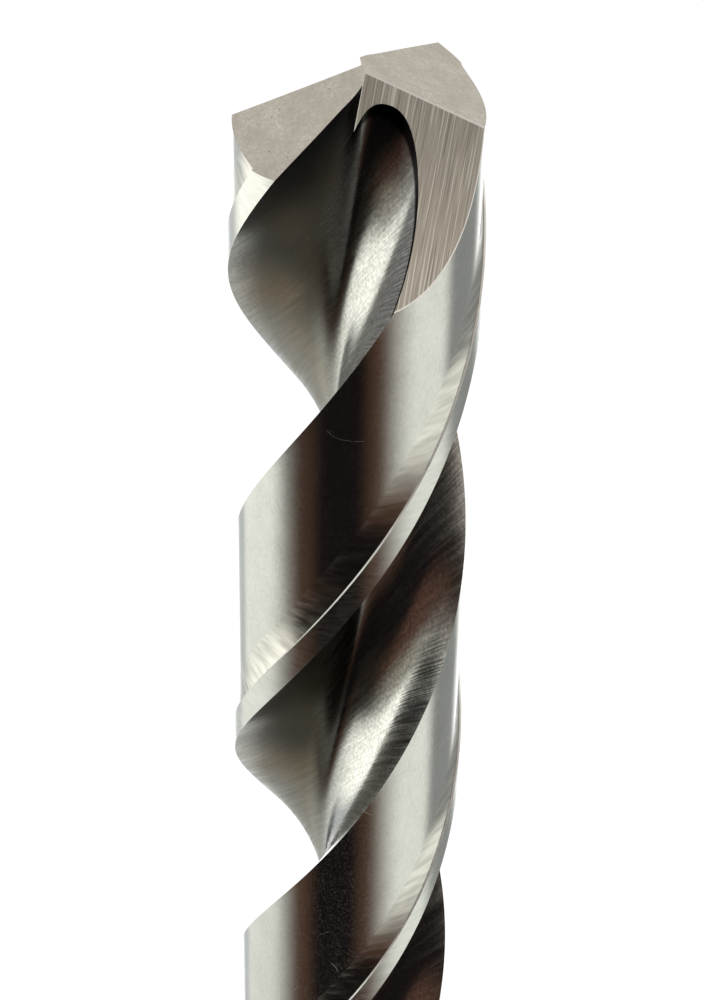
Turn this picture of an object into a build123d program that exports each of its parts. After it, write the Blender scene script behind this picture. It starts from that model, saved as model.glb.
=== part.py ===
from build123d import *
from math import asin, atan2, ceil, cos, degrees, pi, radians, sin, sqrt, tan
import os

# Twist drill bit: a straight-shank jobber drill of high-speed steel, in millimetres and degrees.
# It is one solid. The origin is the centre of the shank's end and +Z runs up the axis to the point.
# A round blank is fluted twice along a right-hand helix, relieved behind two narrow margins, ground
# to a point of two flat flanks, and split by a grinding wheel from each side.

# ---- Blank: a ground rod, whose shank is ground a little smaller and chamfered at its end ----
drill_diameter = 8.0           # across the margins
overall_length = 117.0         # from the shank's end to the chisel edge
shank_diameter = 7.98
shank_length = 39.0            # from the shank's end to where it blends into the body
shank_blend = 1.0              # length of the slight cone between shank and body
shank_chamfer = 0.5            # at 45 degrees round the shank's end

# ---- Flutes: two, right-hand ----
flute_length = 75.0            # from the chisel edge down to where the flutes have run out
helix_angle = 28.75            # of the margins to the axis
web_thickness = 0.94           # metal left between the two flutes at the point
web_taper = 0.0082             # how far each flute moves out from the axis for each mm from the point
land_angle = 86.0              # from a leading edge back to its land's heel
web_angle = 50.0               # where the flute is deepest, ahead of the leading edge
root_distance = 0.94           # from the axis to where the flute has turned up its heel side
root_angle = 101.0             # and that place's angle ahead of the leading edge
hollow_distance = 2.0          # from the axis to where the heel side is hollowest
hollow_angle = 105.5           # and that place's angle ahead of the leading edge
flute_wheel_radius = 50.0      # of the wheel that leaves the metal along its own arc

# ---- Lands: a margin that guides the drill, and a lower surface behind it ----
margin_width = 0.87            # measured round the rim
relieved_diameter = 7.64       # across the lands behind the margins
relief_step = 0.12             # width of the slope from a margin down to the relieved surface
relief_length = 66.0           # from the chisel edge down to where the relief has run out

# ---- Point: two flat flanks, each falling away behind its lip ----
point_angle = 135.0            # between the lips
lip_spacing = 1.0              # between the two parallel lips, seen from above
lip_relief = 12.6              # how steeply a flank falls away behind its lip
lip_heading = 45.8             # plan direction of the first lip from +X
point_offset_x = 0.10          # the point's centre is ground this far off the axis
point_offset_y = 0.14

# ---- Split: a wheel from each side thins the web and gives it a short second lip ----
chisel_length = 0.30           # of the chisel edge left between the two notches
notch_wheel_radius = 16.0
notch_axle_turn = -50.2        # plan direction of the wheel's axle from the lip of the same land
notch_axle_dip = 7.7           # how far the axle points down
notch_slope = 17.0             # how far the notch's floor leans back where it starts
second_notch_turn = 15.0       # how much further round the second notch is ground than the first

# ---- How the cutters are made ----
overshoot = 1.0                # how far a cutter reaches past the metal it cuts
section_twist = 30.0           # turn of the helix between two sections of a lofted cutter

radius = drill_diameter / 2
lead = pi * drill_diameter / tan(radians(helix_angle))
lip_fall = 1 / tan(radians(point_angle / 2))
flank_fall = tan(radians(lip_relief))
flute_angle = 180 - land_angle
point_centre = Vector(point_offset_x, point_offset_y, overall_length)
point_axis = Axis(point_centre, (0, 0, 1))


def polar(distance, angle):
    """The plan point at a distance from the axis, at an angle from +X."""
    return Vector(distance * cos(radians(angle)), distance * sin(radians(angle)))


def blank():
    """The rod, as long as the drill: the chamfered shank, a slight cone and the body."""
    standing = (Align.CENTER, Align.CENTER, Align.MIN)
    body_start = shank_length + shank_blend
    shank = Cylinder(shank_diameter / 2, shank_length, align=standing)
    blend = Cone(shank_diameter / 2, radius, shank_blend, align=standing)
    body = Cylinder(radius, overall_length - body_start, align=standing)
    rod = shank + Pos(0, 0, shank_length) * blend + Pos(0, 0, body_start) * body
    return chamfer(rod.edges().sort_by(Axis.Z)[0], shank_chamfer)


def lip_turn(distance):
    """Angle from the lip's direction to the cutting face, at the chisel's height.

    A lip is a straight line that passes the axis at half the lips' spacing and falls at the point
    angle. Each of its points, carried up the helix to the chisel's height, is on the cutting face.
    """
    beside = lip_spacing / 2
    drop = lip_fall * sqrt(distance ** 2 - beside ** 2) - flank_fall * beside
    return degrees(asin(beside / distance)) + 360 * drop / lead


def edge_angle(height):
    """Plan direction of the first leading edge at a height."""
    return lip_heading + lip_turn(radius) + 360 * (height - overall_length) / lead


def run_out(height, end_height, depth):
    """How far the flute's wheel has climbed out of a groove of this depth that ends at end_height."""
    climb_length = sqrt(flute_wheel_radius ** 2 - (flute_wheel_radius - depth) ** 2)
    climbed = max(end_height + climb_length - height, 0)
    return flute_wheel_radius - sqrt(flute_wheel_radius ** 2 - climbed ** 2)


def flute_section(height):
    """Outline of the flute ahead of the first leading edge.

    Its cutting face runs in from beyond the rim to the web, and its heel side runs out again. It
    moves out along the flute's middle, by the web's taper and then as the wheel climbs out, and it
    is turned back by what the taper alone would shift the leading edge, which keeps to its helix.
    """
    middle = flute_angle / 2
    face_reach = radius - lip_spacing / 2
    face_radii = [radius - face_reach * share for share in (-0.3, 0, 0.3, 0.6, 0.8, 0.9)]
    cutting_face = [polar(r, lip_turn(r) - lip_turn(radius)) for r in face_radii]
    web = polar(web_thickness / 2, web_angle)
    root = polar(root_distance, root_angle)
    hollow = polar(hollow_distance, hollow_angle)
    heel = polar(relieved_diameter / 2, flute_angle)
    past_heel = heel + (heel - hollow).normalized() * 2 * overshoot
    cut = Spline(*cutting_face, web, root, hollow, heel, past_heel)
    cover = ThreePointArc(past_heel, polar(drill_diameter, middle), cutting_face[0])
    thinned = web_taper * (overall_length - height)
    depth = radius - web_thickness / 2 - web_taper * flute_length
    shift = thinned + run_out(height, overall_length - flute_length, depth)
    turn_back = degrees(asin(thinned * sin(radians(middle)) / radius))
    outline = Wire([cut.edge(), cover.edge()]).translate(polar(shift, middle))
    return outline.rotate(Axis.Z, edge_angle(height) - turn_back).translate((0, 0, height))


def relief_section(height):
    """Outline of the sliver that is taken off behind the first margin.

    It starts with the slope at the margin's back edge and ends in the middle of the next flute.
    """
    full_floor = relieved_diameter / 2
    floor = full_floor + run_out(height, overall_length - relief_length, radius - full_floor)
    margin_back = -degrees(margin_width / radius)
    foot_angle = margin_back - degrees(relief_step / radius)
    slope = (polar(radius, margin_back) - polar(full_floor, foot_angle)).normalized()
    end = -land_angle - flute_angle / 2
    outside = radius + 3 * overshoot
    foot = polar(floor, foot_angle)
    slope_top = foot + slope * 2 * overshoot
    floor_end = polar(floor, end)
    cover_end = polar(outside, end)
    outline = Wire([
        Line(slope_top, foot).edge(),
        ThreePointArc(foot, polar(floor, (foot_angle + end) / 2), floor_end).edge(),
        Line(floor_end, cover_end).edge(),
        ThreePointArc(cover_end, polar(outside, (margin_back + end) / 2), slope_top).edge(),
    ])
    return outline.rotate(Axis.Z, edge_angle(height)).translate((0, 0, height))


def twisted_cutter(section, length):
    """A section followed down the helix from above the point until it has left the blank."""
    top = overall_length + overshoot
    bottom = overall_length - length - overshoot
    steps = ceil(360 * (top - bottom) / lead / section_twist)
    heights = [top + (bottom - top) * step / steps for step in range(steps + 1)]
    return Solid.make_loft([section(height) for height in heights])


def flank_cutter():
    """Everything above the first flank, a plane that falls along the lip and away behind it."""
    lip = polar(1, lip_heading)
    ahead = polar(1, lip_heading + 90)
    normal = lip * lip_fall - ahead * flank_fall + Vector(0, 0, 1)
    size = 3 * drill_diameter
    flank = Plane(point_centre, z_dir=normal)
    return flank * Box(size, size, size, align=(Align.CENTER, Align.CENTER, Align.MIN))


def notch_wheel(extra_turn):
    """The wheel that splits the point on the first land's heel side.

    Its rim cuts the notch's floor and its side face cuts the second lip's cutting face. The corner
    between the two starts at the end of the chisel edge.
    """
    chisel_angle = lip_heading + degrees(atan2(lip_fall, flank_fall)) - 180
    corner = point_centre + polar(chisel_length / 2, chisel_angle)
    dip = radians(notch_axle_dip)
    axle = polar(cos(dip), lip_heading + notch_axle_turn + extra_turn) - Vector(0, 0, sin(dip))
    up = (Vector(0, 0, 1) - axle * axle.Z).normalized()
    out = axle.cross(up)
    slope = radians(notch_slope)
    hub = corner + (out * cos(slope) + up * sin(slope)) * notch_wheel_radius
    wheel_side = Plane(hub, z_dir=axle)
    width = 2 * drill_diameter
    return wheel_side * Cylinder(notch_wheel_radius, width, align=(Align.CENTER, Align.CENTER, Align.MIN))


drill_bit = blank()
for side in (0, 180):
    drill_bit -= twisted_cutter(relief_section, relief_length).rotate(Axis.Z, side)
for side in (0, 180):
    drill_bit -= twisted_cutter(flute_section, flute_length).rotate(Axis.Z, side)
for side in (0, 180):
    drill_bit -= flank_cutter().rotate(point_axis, side)
for side, extra_turn in ((0, 0), (180, second_notch_turn)):
    drill_bit -= notch_wheel(extra_turn).rotate(point_axis, side)

os.makedirs("parts", exist_ok=True)
export_step(drill_bit, "parts/drill_bit.step")
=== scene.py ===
import bmesh
import bpy
import numpy as np
from mathutils import Matrix, Vector


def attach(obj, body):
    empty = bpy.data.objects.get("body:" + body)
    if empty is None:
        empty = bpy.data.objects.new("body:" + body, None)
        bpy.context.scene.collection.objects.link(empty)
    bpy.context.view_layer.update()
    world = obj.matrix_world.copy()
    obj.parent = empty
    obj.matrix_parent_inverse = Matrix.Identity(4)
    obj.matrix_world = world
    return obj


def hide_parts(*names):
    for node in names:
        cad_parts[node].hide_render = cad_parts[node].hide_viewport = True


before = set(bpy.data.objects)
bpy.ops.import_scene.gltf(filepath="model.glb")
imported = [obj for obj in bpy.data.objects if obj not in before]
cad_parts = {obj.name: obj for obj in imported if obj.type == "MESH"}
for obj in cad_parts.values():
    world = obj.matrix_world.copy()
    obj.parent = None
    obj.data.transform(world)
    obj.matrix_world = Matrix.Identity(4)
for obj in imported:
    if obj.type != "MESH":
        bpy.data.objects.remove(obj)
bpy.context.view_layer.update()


# ---- Camera ----
# It looks down on the point from about fourteen drill diameters away, with the body running down
# out of view.
camera_place = (0.0, -0.08626, 0.18771)
camera_pitch = 0.801           # radians below the horizon, looking along +Y
camera_roll = 0.0182
lens_mm = 134.53               # on a 36 mm sensor

ahead = Vector((0, np.cos(camera_pitch), -np.sin(camera_pitch)))
level_right = Vector((1, 0, 0))
level_up = level_right.cross(ahead)
right = np.cos(camera_roll) * level_right + np.sin(camera_roll) * level_up
up = np.cos(camera_roll) * level_up - np.sin(camera_roll) * level_right
camera_data = bpy.data.cameras.new("camera")
camera_data.lens = lens_mm
camera_data.sensor_width = 36
camera_data.clip_start = 0.005
camera = bpy.data.objects.new("camera", camera_data)
camera.matrix_world = Matrix.Translation(camera_place) @ Matrix((right, up, -ahead)).transposed().to_4x4()
bpy.context.scene.collection.objects.link(camera)
bpy.context.scene.camera = camera


# ---- Twist drill: body ----
# One bar of high-speed steel. Two right-hand flutes are ground up its body, and the lands between
# them are ground down a little behind a narrow margin. Sizes are in millimetres and degrees, and a
# plan point is a complex number, with X its real part.
radius = 4.0                   # across the margins
overall_length = 117.0
flute_length = 75.0
lead = 2 * np.pi * radius / np.tan(np.radians(28.75))
middle = 47.0                  # of a flute, ahead of its leading edge
web_taper = 0.0082
wheel_radius = 50.0
relieved_radius = 3.82
relief_length = 66.0
margin_back = -12.46           # where a margin ends, behind its leading edge
margin_foot = -28.0            # and where the chattered strip behind it ends
lip_heading = 45.8
lip_fall = 1 / np.tan(np.radians(67.5))
flank_fall = np.tan(np.radians(12.6))
lip_side = 0.5                 # half the distance between the lips
core_radius = 0.47             # of the web at the point
off_centre = (0.10, 0.14)      # where the point stands beside the drill's axis
chisel_reach = 0.15            # from the point's centre to where each notch begins
shank_radius = 3.99
shank_length = 39.0
shank_chamfer = 0.5
body_start = 40.0              # above the short cone that ends the shank
notch_wheel_radius = 16.0
notch_dip = 7.7                # how far the splitting wheel's axle points down
notch_behind_lip = 50.2        # and how far it lies behind the lip in plan
notch_slope = 17.0             # of the line from the notch's corner to the wheel's centre
second_notch_turn = 15.0       # the second notch was cut this much further round


def plan(distance, angle):
    """Plan point distance * (cos angle + i sin angle)."""
    return distance * np.exp(1j * np.radians(angle))


def lip_turn(distance):
    """Angle from the lip's direction to the cutting face at a distance r from the axis.

    asin(s / r) + 360 (f sqrt(r^2 - s^2) - b s) / lead, with s half the lips' spacing, f the lip's
    fall and b the flank's: each point of the straight lip, carried up the helix to the chisel.
    """
    drop = lip_fall * np.sqrt(distance ** 2 - lip_side ** 2) - flank_fall * lip_side
    return np.degrees(np.arcsin(lip_side / distance)) + 360 * drop / lead


def edge_angle(height):
    """Plan angle of the first leading edge: it turns by 360 degrees in each lead."""
    return lip_heading + lip_turn(radius) + 360 * (height - overall_length) / lead


def run_out(height, end_height, depth):
    """How far a wheel of radius W has climbed: W - sqrt(W^2 - c^2), c the length since it began."""
    climb_length = np.sqrt(wheel_radius ** 2 - (wheel_radius - depth) ** 2)
    climbed = np.clip(end_height + climb_length - height, 0, wheel_radius)
    return wheel_radius - np.sqrt(wheel_radius ** 2 - climbed ** 2)


def curve_through(points, count):
    """Cubic spline through plan points, sampled at even chord length, with no bend at its ends.

    Between knots i and i + 1 it is a p_i + b p_i+1 + ((a^3 - a) m_i + (b^3 - b) m_i+1) h^2 / 6,
    where b runs from 0 to 1, a = 1 - b, and the bends m solve the usual three-term equations.
    """
    points = np.array(points)
    step = np.abs(np.diff(points))
    knots = np.concatenate([[0], np.cumsum(step)])
    rows = np.eye(len(points))
    inner = np.arange(1, len(points) - 1)
    rows[inner, inner - 1] = step[:-1]
    rows[inner, inner] = 2 * (step[:-1] + step[1:])
    rows[inner, inner + 1] = step[1:]
    slopes = np.diff(points) / step
    right_side = np.zeros(len(points), complex)
    right_side[1:-1] = 6 * np.diff(slopes)
    bends = np.linalg.solve(rows, right_side)
    at = np.linspace(0, knots[-1], count)
    i = np.clip(np.searchsorted(knots, at, side="right") - 1, 0, len(step) - 1)
    b = (at - knots[i]) / step[i]
    a = 1 - b
    bend = (a ** 3 - a) * bends[i] + (b ** 3 - b) * bends[i + 1]
    return a * points[i] + b * points[i + 1] + bend * step[i] ** 2 / 6


face_radii = radius - (radius - lip_side) * np.array([-0.3, 0, 0.3, 0.6, 0.8, 0.9])
cutting_face = plan(face_radii, lip_turn(face_radii) - lip_turn(radius))
hollow = plan(2.0, 105.5)
heel = plan(relieved_radius, 94.0)
past_heel = heel + 2 * (heel - hollow) / abs(heel - hollow)
web = [plan(core_radius, 50.0), plan(2 * core_radius, 101.0)]
flute_curve = curve_through([*cutting_face, *web, hollow, heel, past_heel], 1200)

# Points along each part of half a section, and the zones of its faces in the order of the
# finishes below. The edge zone is the wall between the chattered strip and the margin.
relief_columns = 26
step_columns = 9
margin_columns = 8
flute_columns = 92
wall_start = 0.97              # share of the strip's width where its wall begins
land_zone, strip_zone, margin_zone, flute_zone, shank_zone, flank_zone, notch_zone, edge_zone = range(8)


def along_curve(place):
    """Point of flute_curve at a fractional sample number."""
    low = np.clip(place.astype(int), 0, len(flute_curve) - 2)
    share = place - low
    return flute_curve[low] * (1 - share) + flute_curve[low + 1] * share


def half_section(height):
    """Half of the section at each height, from one flute's heel round to the next flute's heel.

    Arc at the relieved radius f, a strip that rises by 0.7 (R - f) t^2 with t its share, a steep
    wall up to the margin's arc at the full radius R, then the flute's curve, between the places
    where it crosses the two radii. The wheel's climb shifts it along its middle.
    """
    height = height[:, None]
    thinned = web_taper * (overall_length - height)
    depth = radius - core_radius - web_taper * flute_length
    shift = thinned + run_out(height, overall_length - flute_length, depth)
    turn = -np.degrees(np.arcsin(thinned * np.sin(np.radians(middle)) / radius))
    climb = run_out(height, overall_length - relief_length, radius - relieved_radius)
    floor = np.minimum(relieved_radius + climb, radius)
    reach = np.abs(flute_curve[None, :] + plan(shift, middle))
    count = len(flute_curve)
    rows = np.arange(len(height))
    cut = (reach < radius).any(axis=1)
    first = np.clip(np.argmax(reach < radius, axis=1), 1, count - 1)
    before, after = reach[rows, first - 1], reach[rows, first]
    start = first - 1 + (before - radius) / (before - after)
    last = np.clip(count - 1 - np.argmax(reach[:, ::-1] < floor, axis=1), 0, count - 2)
    before, after = reach[rows, last], reach[rows, last + 1]
    end = last + (floor[:, 0] - before) / (after - before)
    nearest = np.argmin(reach, axis=1)
    start = np.where(cut, start, nearest)[:, None]
    end = np.where(cut, end, nearest)[:, None]
    share = np.linspace(0, 1, flute_columns + 1)[None, :]
    flute = (along_curve(start + (end - start) * share) + plan(shift, middle)) * plan(1, turn)
    lead_in = np.degrees(np.angle(flute[:, :1]))
    heel_behind = np.degrees(np.angle(flute[:, -1:])) - 180
    flute = np.where(cut[:, None], flute, plan(radius, lead_in))
    relief = plan(floor, heel_behind + (margin_foot - heel_behind) * np.linspace(0, 1, relief_columns + 1))
    done = (floor - relieved_radius) / (radius - relieved_radius)
    margin_start = margin_back + (margin_foot - margin_back) * done
    margin = plan(radius, margin_start + (lead_in - margin_start) * np.linspace(0, 1, margin_columns + 1))
    up_slope = np.append(np.linspace(0, wall_start, step_columns), 1.0)
    slope_angle = margin_foot + (margin_start - margin_foot) * up_slope
    strip = floor + (radius - floor) * 0.7 * up_slope ** 2
    slope = plan(np.where(up_slope < 1, strip, radius), slope_angle)
    half = np.concatenate([relief[:, :-1], slope[:, :-1], margin[:, :-1], flute[:, :-1]], axis=1)
    return half * plan(1, edge_angle(height))


# Rows lie closer near the point. The body is made too long, and the flanks then cut it off.
uncut_top = overall_length + 2.3
heights = np.concatenate([np.linspace(42.0, 104.0, 190)[:-1], np.linspace(104.0, uncut_top, 130)])
half = half_section(heights)
section = np.concatenate([half, -half], axis=1)
ring = section[0] / np.abs(section[0])
shank_bends = [0, shank_chamfer, shank_length, body_start]
shank_heights = np.concatenate([
    [0, shank_chamfer, shank_chamfer + 0.0001], np.linspace(2, 38, 19),
    [shank_length - 0.001, shank_length, body_start],
])
shank_radii = np.interp(shank_heights, shank_bends, [shank_radius - shank_chamfer, shank_radius, shank_radius, radius])
section = np.concatenate([shank_radii[:, None] * ring[None, :], section], axis=0)
heights = np.concatenate([shank_heights, heights])
row_count, column_count = section.shape
corners = np.stack([section.real, section.imag, np.repeat(heights[:, None], column_count, axis=1)], axis=-1)
number = np.arange(row_count * column_count).reshape(row_count, column_count)
beside = np.roll(number, -1, axis=1)
quads = np.stack([number[:-1], beside[:-1], beside[1:], number[1:]], axis=-1).reshape(-1, 4)
zones = np.repeat(
    [land_zone, strip_zone, edge_zone, margin_zone, flute_zone],
    [relief_columns, step_columns - 1, 1, margin_columns, flute_columns])
zone_of_quad = np.tile(np.tile(zones, 2), (row_count - 1, 1))
zone_of_quad[: len(shank_heights)] = shank_zone

body_mesh = bpy.data.meshes.new("twist_drill")
body_mesh.from_pydata(corners.reshape(-1, 3) * 0.001, [], quads.tolist())
body_mesh.polygons.foreach_set("material_index", zone_of_quad.ravel().astype(np.int32))

point_centre = Vector((*off_centre, overall_length))
lip = Vector((np.cos(np.radians(lip_heading)), np.sin(np.radians(lip_heading)), 0))
in_front = Vector((-lip.y, lip.x, 0))
flank_normal = (lip * lip_fall - in_front * flank_fall + Vector((0, 0, 1))).normalized()
half_turn = Matrix.Rotation(np.pi, 3, "Z")

body = bmesh.new()
body.from_mesh(body_mesh)
bmesh.ops.remove_doubles(body, verts=body.verts, dist=2e-7)
bottom_edges = [e for e in body.edges if e.is_boundary and e.verts[0].co.z < 0.001]
shank_end = bmesh.ops.edgeloop_fill(body, edges=bottom_edges)["faces"]
for face in shank_end:
    face.material_index = shank_zone
for normal in (flank_normal, half_turn @ flank_normal):
    everything = body.verts[:] + body.edges[:] + body.faces[:]
    bmesh.ops.bisect_plane(
        body, geom=everything, plane_co=point_centre * 0.001, plane_no=normal, dist=1e-8, clear_outer=True)
    open_edges = [e for e in body.edges if e.is_boundary]
    for face in bmesh.ops.edgeloop_fill(body, edges=open_edges)["faces"]:
        face.material_index = flank_zone
bmesh.ops.recalc_face_normals(body, faces=body.faces)
body.to_mesh(body_mesh)
body.free()

drill = bpy.data.objects.new("twist_drill", body_mesh)
bpy.context.scene.collection.objects.link(drill)


def splitting_wheel(extra_turn):
    """Corner, axle, upward and outward directions and hub of a splitting wheel, in millimetres.

    The corner is the end of the chisel edge. The hub lies from it by the wheel's radius times
    (out cos s + up sin s), with s the notch's slope.
    """
    chisel_angle = np.radians(lip_heading) + np.arctan2(lip_fall, flank_fall) - np.pi
    corner = point_centre + chisel_reach * Vector((np.cos(chisel_angle), np.sin(chisel_angle), 0))
    dip = np.radians(notch_dip)
    turn = np.radians(lip_heading - notch_behind_lip + extra_turn)
    axle = Vector((np.cos(dip) * np.cos(turn), np.cos(dip) * np.sin(turn), -np.sin(dip)))
    rise = (Vector((0, 0, 1)) - axle * axle.z).normalized()
    out = axle.cross(rise)
    slope = np.radians(notch_slope)
    hub = corner + (out * np.cos(slope) + rise * np.sin(slope)) * notch_wheel_radius
    return corner, axle, rise, out, hub


def wheel_mesh(extra_turn, side):
    """A disc whose rim points are hub + W (out cos t + up sin t) + w axle, with W its radius.

    The second notch's wheel is turned half round about the point's centre.
    """
    corner, axle, rise, out, hub = splitting_wheel(extra_turn)
    t = np.linspace(0, 2 * np.pi, 720, endpoint=False)[:, None]
    rim = np.array(hub) + notch_wheel_radius * (np.cos(t) * np.array(out) + np.sin(t) * np.array(rise))
    points = np.concatenate([rim, rim + notch_wheel_radius * np.array(axle)])
    count = len(rim)
    i = np.arange(count)
    j = (i + 1) % count
    faces = np.stack([i, j, j + count, i + count], axis=-1).tolist()
    faces += [i[::-1].tolist(), (i + count).tolist()]
    mesh = bpy.data.meshes.new("splitting_wheel")
    mesh.from_pydata(points * 0.001, [], faces)
    if side:
        centre = Matrix.Translation(point_centre * 0.001)
        mesh.transform(centre @ Matrix.Rotation(np.pi, 4, "Z") @ centre.inverted())
    mesh.polygons.foreach_set("material_index", np.full(len(mesh.polygons), notch_zone, np.int32))
    wheel = bmesh.new()
    wheel.from_mesh(mesh)
    bmesh.ops.recalc_face_normals(wheel, faces=wheel.faces)
    wheel.to_mesh(mesh)
    wheel.free()
    return mesh


def add_node(tree, kind, inputs=(), **settings):
    """A new shader node; an input given as another node's output is linked, and others are set."""
    node = tree.nodes.new("ShaderNode" + kind)
    for key, value in settings.items():
        setattr(node, key, value)
    for key, value in dict(inputs).items():
        if isinstance(value, bpy.types.NodeSocket):
            tree.links.new(value, node.inputs[key])
        else:
            node.inputs[key].default_value = value
    return node


def unwound(tree, squeeze):
    """Object coordinates turned back by a whole turn in each lead, then scaled by squeeze.

    A groove that runs up a flute then has one X and Y all along, so a small Z scale draws it out.
    """
    place = add_node(tree, "TexCoord").outputs["Object"]
    height = add_node(tree, "SeparateXYZ", {0: place}).outputs["Z"]
    turn = add_node(tree, "Math", {0: height, 1: -2000 * np.pi / lead}, operation="MULTIPLY").outputs[0]
    turned = add_node(tree, "VectorRotate", {"Vector": place, "Angle": turn}, rotation_type="Z_AXIS")
    return add_node(tree, "VectorMath", {0: turned.outputs[0], 1: squeeze}, operation="MULTIPLY").outputs[0]


def straight(tree, squeeze):
    """Object coordinates scaled by squeeze."""
    place = add_node(tree, "TexCoord").outputs["Object"]
    return add_node(tree, "VectorMath", {0: place, 1: squeeze}, operation="MULTIPLY").outputs[0]


def along_direction(tree, start, direction):
    """How many millimetres a point lies from start along a direction: (p - start) . d."""
    place = add_node(tree, "TexCoord").outputs["Object"]
    dot = add_node(tree, "VectorMath", {0: place, 1: tuple(direction)}, operation="DOT_PRODUCT").outputs["Value"]
    offset = -float(np.dot(start, direction))
    return add_node(tree, "Math", {0: dot, 1: 1000.0, 2: offset}, operation="MULTIPLY_ADD").outputs[0]


def grain(tree, place, cell_mm, detail=3.0, low=0.0, high=1.0):
    """Noise whose cells are cell_mm wide, stretched so that 0.3..0.7 becomes low..high."""
    noise = add_node(tree, "TexNoise", {"Vector": place, "Scale": 1000 / cell_mm, "Detail": detail})
    spread = {"Value": noise.outputs["Fac"], "From Min": 0.3, "From Max": 0.7, "To Min": low, "To Max": high}
    return add_node(tree, "MapRange", spread, clamp=True).outputs["Result"]


def band(tree, value, low, high, soft):
    """1 where value lies between low and high and 0 outside, with smooth edges soft wide."""
    rise = {"Value": value, "From Min": low - soft / 2, "From Max": low + soft / 2}
    fall = {"Value": value, "From Min": high - soft / 2, "From Max": high + soft / 2, "To Min": 1, "To Max": 0}
    up = add_node(tree, "MapRange", rise, interpolation_type="SMOOTHSTEP").outputs["Result"]
    down = add_node(tree, "MapRange", fall, interpolation_type="SMOOTHSTEP").outputs["Result"]
    return add_node(tree, "Math", {0: up, 1: down}, operation="MULTIPLY").outputs[0]


def specks(tree, place, cell_mm, size_mm, share):
    """Scattered dots about size_mm wide, one in a share of the cells of a cellular pattern."""
    cells = add_node(tree, "TexVoronoi", {"Vector": place, "Scale": 1000 / cell_mm})
    near = {"Value": cells.outputs["Distance"], "From Min": size_mm / cell_mm / 2, "From Max": size_mm / cell_mm / 4}
    dot = add_node(tree, "MapRange", near, clamp=True).outputs["Result"]
    pick = add_node(tree, "SeparateColor", {"Color": cells.outputs["Color"]}).outputs[0]
    chosen = add_node(tree, "Math", {0: pick, 1: share}, operation="LESS_THAN").outputs[0]
    return add_node(tree, "Math", {0: dot, 1: chosen}, operation="MULTIPLY").outputs[0]


def blend_colors(tree, share, first, second):
    """Colour from first to second as share goes from 0 to 1."""
    mix = add_node(tree, "Mix", {"Factor": share}, data_type="RGBA")
    for socket, value in ((mix.inputs[6], first), (mix.inputs[7], second)):
        if isinstance(value, bpy.types.NodeSocket):
            tree.links.new(value, socket)
        else:
            socket.default_value = (*value, 1)
    return mix.outputs[2]


def add_bumps(tree, layers):
    """Normal from several height patterns, each given with its depth in thousandths of a mm."""
    normal = None
    for height, depth in layers:
        bump = add_node(tree, "Bump", {"Height": height, "Distance": depth * 1e-6, "Strength": 1.0})
        if normal is not None:
            tree.links.new(normal, bump.inputs["Normal"])
        normal = bump.outputs["Normal"]
    return normal


finishes = {}


def new_finish(name, color, metallic, roughness, normal_layers):
    """A steel finish; a colour or roughness that varies comes in as a function of the node tree."""
    material = bpy.data.materials.new(name)
    material.use_nodes = True
    tree = material.node_tree
    shader = tree.nodes["Principled BSDF"]
    if callable(metallic):
        tree.links.new(metallic(tree), shader.inputs["Metallic"])
    else:
        shader.inputs["Metallic"].default_value = metallic
    tree.links.new(color(tree), shader.inputs["Base Color"])
    tree.links.new(roughness(tree), shader.inputs["Roughness"])
    tree.links.new(add_bumps(tree, normal_layers(tree)), shader.inputs["Normal"])
    finishes[name] = material
    drill.data.materials.append(material)


steel = (0.615, 0.615, 0.59)
pale_steel = (0.70, 0.70, 0.675)
worn_steel = (0.84, 0.82, 0.78)


def hairlines(tree, place, cell_mm, width):
    """Thin curved scratches: where one slow noise crosses its middle and another is high."""
    wander = add_node(tree, "TexNoise", {"Vector": place, "Scale": 1000 / cell_mm, "Detail": 0.0}).outputs["Fac"]
    line = band(tree, wander, 0.5 - width, 0.5 + width, width)
    patch = add_node(tree, "TexNoise", {"Vector": place, "Scale": 1700 / cell_mm, "Detail": 0.0}).outputs["Fac"]
    return add_node(tree, "Math", {0: line, 1: band(tree, patch, 0.66, 2, 0.03)}, operation="MULTIPLY").outputs[0]


# The lands are ground round, which leaves a fine grain, faint rings and a few specks and scratches.
def land_color(tree):
    cloudy = grain(tree, straight(tree, (1, 1, 0.5)), 0.9, 4.0)
    tone = blend_colors(tree, cloudy, (0.56, 0.56, 0.535), (0.65, 0.65, 0.625))
    tone = blend_colors(tree, grain(tree, straight(tree, (1, 1, 0.5)), 0.1, 3.0, 0, 0.4), tone, (0.78, 0.77, 0.735))
    tone = blend_colors(tree, specks(tree, straight(tree, (1, 1, 0.7)), 0.4, 0.06, 0.35), tone, worn_steel)
    return blend_colors(tree, hairlines(tree, straight(tree, (1, 1, 1)), 2.2, 0.0018), tone, (0.85, 0.83, 0.8))


def land_roughness(tree):
    even = grain(tree, straight(tree, (1, 1, 0.6)), 0.09, 4.0, 0.08, 0.20)
    scratched = hairlines(tree, straight(tree, (1, 1, 1)), 2.2, 0.0018)
    return add_node(tree, "Math", {0: scratched, 1: 0.22, 2: even}, operation="MULTIPLY_ADD").outputs[0]


new_finish(
    "land", land_color, 1.0, land_roughness,
    lambda tree: [
        (grain(tree, straight(tree, (1, 1, 1)), 0.06, 2.0), 0.3),
        (grain(tree, straight(tree, (0.06, 0.06, 1)), 0.10, 2.0), 0.2),
        (grain(tree, straight(tree, (1, 1, 0.6)), 0.9, 2.0), 1.2),
        (specks(tree, straight(tree, (1, 1, 0.7)), 0.4, 0.06, 0.35), 1.5),
    ],
)


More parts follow.
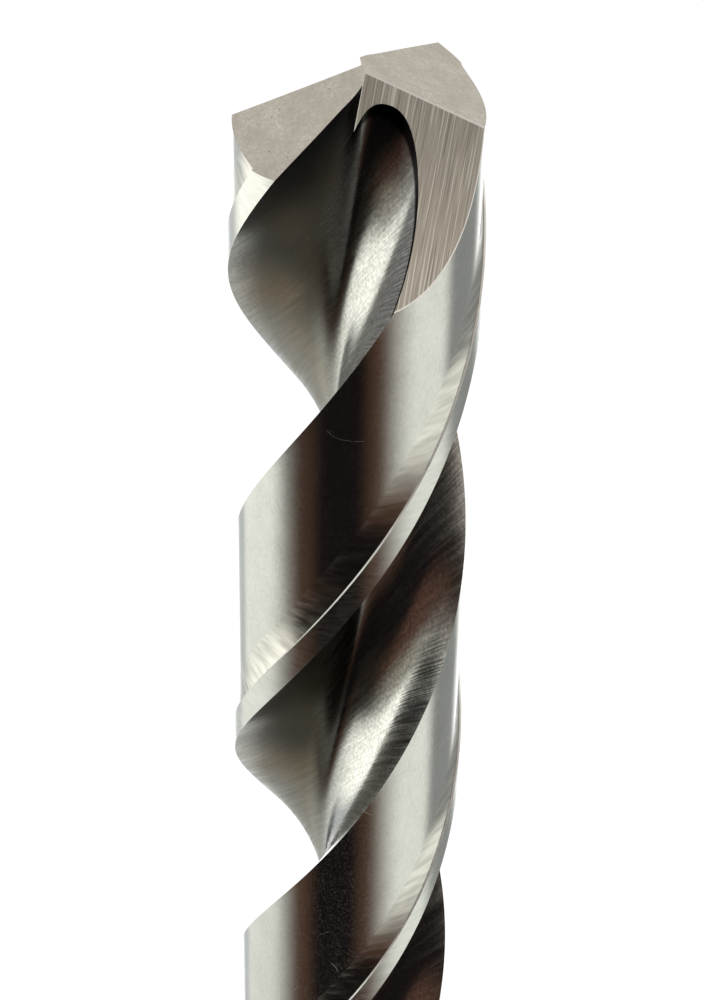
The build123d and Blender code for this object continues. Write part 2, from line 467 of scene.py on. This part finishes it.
# The strip behind each margin was cut by a chattering wheel: short strokes that climb across it.
def chatter(tree):
    """Noise of the unwound place across the strip, with height added so that strokes slant."""
    parts = add_node(tree, "SeparateXYZ", {0: straight(tree, (1000, 1000, 1000))})
    across_strip = unwound(tree, (260, 260, 0))
    level = add_node(tree, "CombineXYZ", {"Z": parts.outputs["Z"]}).outputs[0]
    place = add_node(tree, "VectorMath", {0: across_strip, 1: level}, operation="ADD").outputs[0]
    noise = add_node(tree, "TexNoise", {"Vector": place, "Scale": 3.4, "Detail": 1.5}).outputs["Fac"]
    spread = {"Value": noise, "From Min": 0.36, "From Max": 0.64}
    return add_node(tree, "MapRange", spread, clamp=True).outputs["Result"]


new_finish(
    "margin_step",
    lambda tree: blend_colors(tree, chatter(tree), (0.54, 0.525, 0.49), (0.74, 0.72, 0.67)), 1.0,
    lambda tree: grain(tree, unwound(tree, (0.3, 0.3, 1.0)), 0.22, 2.0, 0.12, 0.26),
    lambda tree: [
        (chatter(tree), 1.9),
        (grain(tree, straight(tree, (1, 1, 1)), 0.06, 2.0), 0.25),
    ],
)
new_finish(
    "margin",
    lambda tree: blend_colors(tree, grain(tree, straight(tree, (0.3, 0.3, 1)), 0.25, 4.0), steel, pale_steel), 1.0,
    lambda tree: grain(tree, straight(tree, (0.2, 0.2, 1)), 0.08, 3.0, 0.14, 0.26),
    lambda tree: [
        (grain(tree, straight(tree, (0.08, 0.08, 1)), 0.09, 2.0), 0.2),
        (grain(tree, straight(tree, (1, 1, 1)), 0.06, 1.0), 0.15),
    ],
)


# The flutes are ground by a wheel that runs up the helix and leaves fine grooves along its own
# plane. The cutting face and the root are painted darker and the heel side paler, painted shade
# and painted highlight, with cloudy brown patches over the cutting face.
wheel_corner, wheel_axle, _, _, wheel_hub = splitting_wheel(0)
flute_heading = np.radians(edge_angle(0.0) + middle)


def flute_side(tree):
    """Millimetres from a flute's middle line towards its heel, the same in both flutes.

    (y cos h - x sin h) times the sign of (x cos h + y sin h), with x and y the unwound plan and h
    the middle's heading at the point.
    """
    parts = add_node(tree, "SeparateXYZ", {0: unwound(tree, (1000, 1000, 0))})
    cosine, sine = np.cos(flute_heading), np.sin(flute_heading)
    sums = []
    for x_share, y_share in ((cosine, sine), (-sine, cosine)):
        part = add_node(tree, "Math", {0: parts.outputs["X"], 1: x_share}, operation="MULTIPLY").outputs[0]
        part = add_node(tree, "Math", {0: parts.outputs["Y"], 1: y_share, 2: part}, operation="MULTIPLY_ADD")
        sums.append(part.outputs[0])
    sign = add_node(tree, "Math", {0: sums[0]}, operation="SIGN").outputs[0]
    return add_node(tree, "Math", {0: sums[1], 1: sign}, operation="MULTIPLY").outputs[0]


def groove(tree, cell_mm, detail, low, high):
    """Noise across lines that climb to the side by half of their rise, slow along them.

    With no detail it is an even wave instead: low + high sin(2 pi d / cell), with d the place
    across the lines, shifted a little by a slow noise.
    """
    side = flute_side(tree)
    level = add_node(tree, "SeparateXYZ", {0: straight(tree, (1000, 1000, 1000))}).outputs["Z"]
    lane = add_node(tree, "Math", {0: level, 1: -0.5, 2: side}, operation="MULTIPLY_ADD").outputs[0]
    slow = add_node(tree, "Math", {0: level, 1: 0.05}, operation="MULTIPLY").outputs[0]
    place = add_node(tree, "CombineXYZ", {"X": lane, "Y": slow}).outputs[0]
    if detail == 0:
        drift = add_node(tree, "TexNoise", {"Vector": place, "Scale": 2.5, "Detail": 2.0}).outputs["Fac"]
        phase = add_node(tree, "Math", {0: drift, 1: 0.6, 2: lane}, operation="MULTIPLY_ADD").outputs[0]
        turn = add_node(tree, "Math", {0: phase, 1: 2 * np.pi / cell_mm}, operation="MULTIPLY").outputs[0]
        wave = add_node(tree, "Math", {0: turn}, operation="SINE").outputs[0]
        return add_node(tree, "Math", {0: wave, 1: high, 2: low}, operation="MULTIPLY_ADD").outputs[0]
    noise = add_node(tree, "TexNoise", {"Vector": place, "Scale": 1 / cell_mm, "Detail": detail}).outputs["Fac"]
    spread = {"Value": noise, "From Min": 0.3, "From Max": 0.7, "To Min": low, "To Max": high}
    return add_node(tree, "MapRange", spread, clamp=True).outputs["Result"]


def wheel_reach(tree):
    """How many millimetres a point lies from the first splitting wheel's axle line.

    v - (v . a) a, with v the place from the hub and a the axle's direction, and its length.
    """
    from_hub = {0: straight(tree, (1000, 1000, 1000)), 1: tuple(wheel_hub)}
    place = add_node(tree, "VectorMath", from_hub, operation="SUBTRACT")
    share = add_node(tree, "VectorMath", {0: place.outputs[0], 1: tuple(wheel_axle)}, operation="DOT_PRODUCT")
    part = add_node(tree, "VectorMath", {0: tuple(wheel_axle), "Scale": share.outputs["Value"]}, operation="SCALE")
    rest = add_node(tree, "VectorMath", {0: place.outputs[0], 1: part.outputs[0]}, operation="SUBTRACT")
    return add_node(tree, "VectorMath", {0: rest.outputs[0]}, operation="LENGTH").outputs["Value"]


def near_heel(tree):
    """1 on the heel side of the flute near the point."""
    side = flute_side(tree)
    level = add_node(tree, "SeparateXYZ", {0: straight(tree, (1000, 1000, 1000))}).outputs["Z"]
    beside = add_node(tree, "MapRange", {"Value": side, "From Min": 1.2, "From Max": 2.1}, clamp=True)
    above = add_node(tree, "MapRange", {
        "Value": level, "From Min": overall_length - 13, "From Max": overall_length - 8}, clamp=True)
    return add_node(
        tree, "Math", {0: beside.outputs["Result"], 1: above.outputs["Result"]}, operation="MULTIPLY").outputs[0]


def flute_color(tree):
    side = flute_side(tree)
    share = add_node(tree, "MapRange", {"Value": side, "From Min": -3.0, "From Max": 3.0}, clamp=True)
    # The ramp across the flute paints shade on the cutting face and root and a highlight towards the heel.
    stops = add_node(tree, "ValToRGB", {"Fac": share.outputs["Result"]})
    ramp_stops = stops.color_ramp.elements
    ramp_stops[0].position, ramp_stops[0].color = 0.0, (0.60, 0.59, 0.57, 1)
    ramp_stops[1].position, ramp_stops[1].color = 1.0, (0.90, 0.89, 0.86, 1)
    for position, color in (
        (0.06, (0.44, 0.435, 0.41)), (0.13, (0.21, 0.208, 0.185)), (0.34, (0.20, 0.187, 0.15)),
        (0.47, (0.36, 0.355, 0.33)), (0.55, (0.60, 0.60, 0.575)), (0.68, (0.80, 0.80, 0.77)), (0.8, (0.90, 0.90, 0.87)),
    ):
        ramp_stops.new(position).color = (*color, 1)
    tone = blend_colors(tree, groove(tree, 0.07, 2.0, 0.0, 0.35), stops.outputs["Color"], (0.16, 0.158, 0.145))
    cloudy = grain(tree, unwound(tree, (1, 1, 0.6)), 1.2, 4.0, 0.0, 0.5)
    # Cloudy brown patches over the cutting face.
    brown_clouds = add_node(tree, "Math", {0: cloudy, 1: band(tree, side, -2.6, -0.4, 0.8)}, operation="MULTIPLY").outputs[0]
    tone = blend_colors(tree, brown_clouds, tone, (0.30, 0.22, 0.13))
    tone = blend_colors(tree, grain(tree, unwound(tree, (1, 1, 0.8)), 0.11, 4.0, 0, 0.5), tone, (0.15, 0.145, 0.13))
    # Painted shade: the flute turns nearly black towards the lips.
    near_lip = add_node(tree, "Math", {
        0: along_direction(tree, point_centre, flank_normal),
        1: along_direction(tree, point_centre, half_turn @ flank_normal),
    }, operation="MAXIMUM").outputs[0]
    lip_shade_spread = {"Value": near_lip, "From Min": -3.4, "From Max": -0.4, "To Max": 0.93}
    painted_lip_shade = add_node(tree, "MapRange", lip_shade_spread, clamp=True)
    tone = blend_colors(tree, painted_lip_shade.outputs["Result"], tone, (0.02, 0.022, 0.026))
    lined = add_node(tree, "Math", {
        0: groove(tree, 0.085, 0, 0.3, 0.35), 1: near_heel(tree)}, operation="MULTIPLY", use_clamp=True).outputs[0]
    tone = blend_colors(tree, lined, tone, (0.22, 0.22, 0.20))
    # Painted shade: a dark line on the flute along the rim of the first notch.
    painted_rim_shade = add_node(tree, "Math", {
        0: band(tree, wheel_reach(tree), notch_wheel_radius - 0.17, notch_wheel_radius + 0.12, 0.06),
        1: band(tree, along_direction(tree, wheel_corner, wheel_axle), 0.0, 99, 0.1),
    }, operation="MULTIPLY").outputs[0]
    tone = blend_colors(tree, painted_rim_shade, tone, (0.02, 0.02, 0.02))
    return blend_colors(tree, specks(tree, unwound(tree, (1, 1, 1)), 0.5, 0.05, 0.2), tone, (0.5, 0.49, 0.46))


def flute_roughness(tree):
    side = flute_side(tree)
    face = add_node(tree, "MapRange", {"Value": side, "From Min": 0.1, "From Max": -1.0, "To Max": 0.16}, clamp=True)
    grooved = groove(tree, 0.13, 3.0, 0.12, 0.24)
    return add_node(tree, "Math", {0: face.outputs["Result"], 1: grooved}, operation="ADD").outputs[0]


# Painted highlight: the heel side near the point is made less metallic, so that it shows pale.
def flute_metal(tree):
    heel_dulling = {"Value": near_heel(tree), "To Min": 1.0, "To Max": 0.4}
    return add_node(tree, "MapRange", heel_dulling, clamp=True).outputs["Result"]


new_finish(
    "flute", flute_color, flute_metal,
    flute_roughness,
    lambda tree: [
        (groove(tree, 0.085, 0, 0, 0.5), 0.45),
        (groove(tree, 0.07, 2.0, 0, 1), 0.2),
        (grain(tree, straight(tree, (1, 1, 1)), 0.08, 1.0), 0.1),
    ],
)


# The shank is ground round as the lands are, and coarser.
def shank_color(tree):
    cloudy = grain(tree, straight(tree, (1, 1, 1)), 1.4, 4.0)
    return blend_colors(tree, cloudy, (0.56, 0.555, 0.53), (0.66, 0.65, 0.625))


new_finish(
    "shank", shank_color, 1.0,
    lambda tree: grain(tree, straight(tree, (0.05, 0.05, 1)), 0.09, 4.0, 0.16, 0.32),
    lambda tree: [
        (grain(tree, straight(tree, (0.03, 0.03, 1)), 0.08, 3.0), 0.5),
        (grain(tree, straight(tree, (1, 1, 1)), 0.07, 3.0), 0.3),
    ],
)


# The flanks come off a coarse wheel, matte and warm, with pits.
def flank_color(tree):
    place = straight(tree, (1, 1, 1))
    fine = grain(tree, place, 0.06, 3.0)
    tone = blend_colors(tree, fine, (0.50, 0.48, 0.445), (0.82, 0.80, 0.75))
    cloudy = grain(tree, place, 0.8, 5.0, 0.0, 0.75)
    tone = blend_colors(tree, cloudy, tone, (0.50, 0.475, 0.43))
    tone = blend_colors(tree, grain(tree, place, 0.14, 4.0, 0, 0.5), tone, (0.42, 0.40, 0.365))
    return blend_colors(tree, specks(tree, place, 0.3, 0.07, 0.3), tone, (0.25, 0.22, 0.19))


new_finish(
    "flank", flank_color, 0.85,
    lambda tree: grain(tree, straight(tree, (1, 1, 1)), 0.06, 3.0, 0.34, 0.55),
    lambda tree: [
        (grain(tree, straight(tree, (1, 1, 1)), 0.05, 3.0), 1.2),
        (grain(tree, straight(tree, (1, 1, 1)), 0.16, 3.0), 1.5),
    ],
)


# The splitting wheel's rim drags coarse scratches down each notch. A bright line is painted where
# the notch meets the flank, its own side wall and the land: a painted highlight along those edges.
def scratch(tree, cell_mm, detail, low, high):
    """Noise of the distance along the wheel's axle, slowly varied along the scratch."""
    level = along_direction(tree, (0, 0, 0), wheel_axle)
    drift = straight(tree, (0, 0, 18))
    lane = add_node(tree, "CombineXYZ", {"X": level}).outputs[0]
    place = add_node(tree, "VectorMath", {0: lane, 1: drift}, operation="ADD").outputs[0]
    noise = add_node(tree, "TexNoise", {"Vector": place, "Scale": 1 / cell_mm, "Detail": detail})
    spread = {"Value": noise.outputs["Fac"], "From Min": 0.34, "From Max": 0.66, "To Min": low, "To Max": high}
    return add_node(tree, "MapRange", spread, clamp=True).outputs["Result"]


def painted_edge_glints(tree):
    """1 within a few hundredths of a millimetre of the notch's upper edges and its side wall, where a highlight is
    painted.
    """
    rim = add_node(tree, "VectorMath", {0: straight(tree, (1000, 1000, 0))}, operation="LENGTH").outputs["Value"]
    most = None
    for line in (
        band(tree, along_direction(tree, point_centre, flank_normal), -0.06, 1, 0.03),
        band(tree, along_direction(tree, point_centre, half_turn @ flank_normal), -0.06, 1, 0.03),
        band(tree, along_direction(tree, wheel_corner, wheel_axle), -0.2, 0.04, 0.03),
        band(tree, rim, 3.79, 3.85, 0.03),
    ):
        if most is not None:
            line = add_node(tree, "Math", {0: line, 1: most}, operation="MAXIMUM").outputs[0]
        most = line
    return most


def notch_color(tree):
    tone = blend_colors(tree, scratch(tree, 0.024, 4.0, 0, 1), (0.34, 0.30, 0.245), (0.58, 0.54, 0.465))
    tone = blend_colors(tree, scratch(tree, 0.3, 3.0, 0, 0.35), tone, (0.42, 0.38, 0.325))
    tone = blend_colors(tree, scratch(tree, 0.045, 0.0, -3.4, 0.7), tone, (0.80, 0.77, 0.70))
    tone = blend_colors(tree, scratch(tree, 0.05, 0.0, 0.6, -3.4), tone, (0.24, 0.21, 0.175))
    # Painted highlight along the notch's edges.
    return blend_colors(tree, painted_edge_glints(tree), tone, (0.97, 0.95, 0.90))


new_finish(
    "notch", notch_color, 0.6,
    lambda tree: scratch(tree, 0.07, 3.0, 0.42, 0.62),
    lambda tree: [(scratch(tree, 0.05, 4.0, 0, 1), 4.0)],
)


# The wall below each margin is painted pale and made less metallic, a painted highlight along the margin.
def margin_edge_color(tree):
    pale_grain = grain(tree, unwound(tree, (1, 1, 0.3)), 0.15, 3.0)
    return blend_colors(tree, pale_grain, (0.72, 0.71, 0.68), (0.88, 0.865, 0.83))


new_finish(
    "margin_edge", margin_edge_color, 0.8,
    lambda tree: grain(tree, unwound(tree, (1, 1, 0.3)), 0.1, 3.0, 0.3, 0.5),
    lambda tree: [(grain(tree, unwound(tree, (1, 1, 0.3)), 0.12, 2.0), 1.0)],
)


# The two notches are cut last, and bring the notch zone with them.
wheels = []
for side, extra_turn in ((0, 0), (1, second_notch_turn)):
    mesh = wheel_mesh(extra_turn, side)
    for material in finishes.values():
        mesh.materials.append(material)
    wheel = bpy.data.objects.new("splitting_wheel", mesh)
    bpy.context.scene.collection.objects.link(wheel)
    cut = drill.modifiers.new("split", "BOOLEAN")
    cut.operation = "DIFFERENCE"
    cut.solver = "EXACT"
    cut.object = wheel
    wheels.append(wheel)
bpy.context.view_layer.update()
split = bpy.data.meshes.new_from_object(drill.evaluated_get(bpy.context.evaluated_depsgraph_get()))
drill.modifiers.clear()
drill.data = split
for wheel in wheels:
    bpy.data.meshes.remove(wheel.data)
cleaned = bmesh.new()
cleaned.from_mesh(split)
bmesh.ops.dissolve_degenerate(cleaned, dist=1e-9, edges=cleaned.edges)
cleaned.to_mesh(split)
cleaned.free()
split.name = "twist_drill"
split.shade_smooth()
split.set_sharp_from_angle(angle=np.radians(28))
zone_of_face = np.zeros(len(split.polygons), np.int32)
split.polygons.foreach_get("material_index", zone_of_face)
split.polygons.foreach_set("use_smooth", (zone_of_face != flank_zone) & (zone_of_face != notch_zone))

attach(drill, "root")
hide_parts("drill_bit")


# ---- Stage ----
# A plain pale floor under a white world. Bright metal shows little but its surroundings, so a dome
# that only its reflections meet carries the white of the studio and the dark cards of its flags.
dome_centre = (0, 0, 0.10)
dome_radius = 2.0
dome_white = (1.03, 1.05, 0.97)
second_bounce = 0.25           # strength that the dome has left in a reflection of a reflection
cards = (
    # azimuth from, to and softness of those edges, elevation the same, in degrees, and colour
    (-200, 200, 8, 6, 120, 8, (0.80, 0.75, 0.69)),         # the room above
    (140, 192, 14, -43, -18, 9, (1.65, 1.65, 1.52)),       # a bright reflector
    (62, 112, 12, -72, -36, 10, (1.45, 1.46, 1.48)),
    (8, 58, 18, -62, -28, 10, (0.32, 0.33, 0.32)),
    (112, 134, 10, -75, -36, 8, (0.6, 0.63, 0.62)),
    (128, 205, 12, -95, -54, 8, (0.78, 0.80, 0.75)),
    (-161, -47, 44, -63, 8, 8, (0.095, 0.052, 0.034)),     # brown edges of the dark flag
    (-128, -76, 22, -62, 6, 8, (0.010, 0.008, 0.008)),     # and its black middle
    (-160, -120, 10, -44, -28, 8, (0.02, 0.018, 0.015)),
    (-170, -142, 12, -25, -13, 8, (0.36, 0.34, 0.28)),
    (-150, -118, 14, -1, 10, 6, (0.015, 0.01, 0.01)),
    (-152, -126, 12, -20, -9, 6, (0.11, 0.055, 0.04)),
    (-200, -118, 12, -73, -63, 6, (0.78, 0.76, 0.66)),
    (-205, -118, 12, -95, -73, 6, (0.42, 0.33, 0.23)),
)


def ramp(value, low, high, soft):
    """0 outside low..high and 1 inside, with an s-shaped edge 3 t^2 - 2 t^3 over each softness."""
    t = np.clip(np.minimum(value - low, high - value) / soft + 0.5, 0, 1)
    return t * t * (3 - 2 * t)


azimuth, elevation = np.meshgrid(np.radians(np.linspace(-180, 180, 181)), np.radians(np.linspace(-88, 88, 89)))
sphere = np.stack([
    np.cos(elevation) * np.cos(azimuth), np.cos(elevation) * np.sin(azimuth), np.sin(elevation)
], axis=-1)
shades = np.ones(azimuth.shape + (3,)) * dome_white
for from_azimuth, to_azimuth, soft_azimuth, from_elevation, to_elevation, soft_elevation, shade in cards:
    cover = np.zeros(azimuth.shape)
    for turn in (-360, 0, 360):
        beside = ramp(np.degrees(azimuth) + turn, from_azimuth, to_azimuth, soft_azimuth)
        cover = np.maximum(cover, beside * ramp(np.degrees(elevation), from_elevation, to_elevation, soft_elevation))
    shades += (np.array(shade) - shades) * cover[..., None]
dome_mesh = bpy.data.meshes.new("studio_dome")
dome_number = np.arange(azimuth.size).reshape(azimuth.shape)
dome_quads = np.stack([dome_number[:-1, :-1], dome_number[1:, :-1], dome_number[1:, 1:], dome_number[:-1, 1:]], axis=-1)
dome_mesh.from_pydata((sphere * dome_radius + dome_centre).reshape(-1, 3), [], dome_quads.reshape(-1, 4).tolist())
shade_data = dome_mesh.attributes.new("shade", "FLOAT_COLOR", "POINT").data
shade_data.foreach_set("color", np.concatenate([shades, np.ones(azimuth.shape + (1,))], axis=-1).ravel())
dome = bpy.data.objects.new("studio_dome", dome_mesh)
bpy.context.scene.collection.objects.link(dome)
for ray in ("camera", "diffuse", "transmission", "volume_scatter", "shadow"):
    setattr(dome, "visible_" + ray, False)
dome_light = bpy.data.materials.new("dome_light")
dome_light.use_nodes = True
tree = dome_light.node_tree
tree.nodes.remove(tree.nodes["Principled BSDF"])
bounce = add_node(tree, "LightPath").outputs["Glossy Depth"]
dimming = {"Value": bounce, "From Min": 1, "From Max": 2, "To Min": 1, "To Max": second_bounce}
dimmed = add_node(tree, "MapRange", dimming).outputs["Result"]
shade_color = add_node(tree, "Attribute", attribute_name="shade").outputs["Color"]
glow = add_node(tree, "Emission", {"Color": shade_color, "Strength": dimmed})
tree.links.new(glow.outputs["Emission"], tree.nodes["Material Output"].inputs["Surface"])
dome_mesh.materials.append(dome_light)


def seen_directly(tree):
    """1 for camera, glossy and transmission rays, and 0 for the rays that carry light."""
    rays = add_node(tree, "LightPath")
    mirrored = {0: rays.outputs["Is Camera Ray"], 1: rays.outputs["Is Glossy Ray"]}
    seen = add_node(tree, "Math", mirrored, operation="MAXIMUM").outputs[0]
    through = {0: seen, 1: rays.outputs["Is Transmission Ray"]}
    return add_node(tree, "Math", through, operation="MAXIMUM").outputs[0]


floor_mesh = bpy.data.meshes.new("floor")
floor_mesh.from_pydata([(-3, -3, 0), (3, -3, 0), (3, 3, 0), (-3, 3, 0)], [], [(0, 1, 2, 3)])
floor = bpy.data.objects.new("floor", floor_mesh)
bpy.context.scene.collection.objects.link(floor)
floor.visible_glossy = False
white = bpy.data.materials.new("floor_white")
white.use_nodes = True
tree = white.node_tree
shader = tree.nodes["Principled BSDF"]
shader.inputs["Base Color"].default_value = (0.85, 0.85, 0.85, 1)
shader.inputs["Roughness"].default_value = 1
shader.inputs["Specular IOR Level"].default_value = 0
shader.inputs["Emission Color"].default_value = (1, 1, 1, 1)
lift = add_node(tree, "Math", {0: seen_directly(tree), 1: 0.34}, operation="MULTIPLY").outputs[0]
tree.links.new(lift, shader.inputs["Emission Strength"])
floor_mesh.materials.append(white)

world = bpy.data.worlds.new("studio")
world.use_nodes = True
bpy.context.scene.world = world
tree = world.node_tree
background = tree.nodes["Background"]
background.inputs["Color"].default_value = (1, 1, 1, 1)
strength = add_node(tree, "MapRange", {"Value": seen_directly(tree), "To Min": 0.85, "To Max": 1.0})
tree.links.new(strength.outputs["Result"], background.inputs["Strength"])

bpy.context.scene.view_settings.view_transform = "Standard"
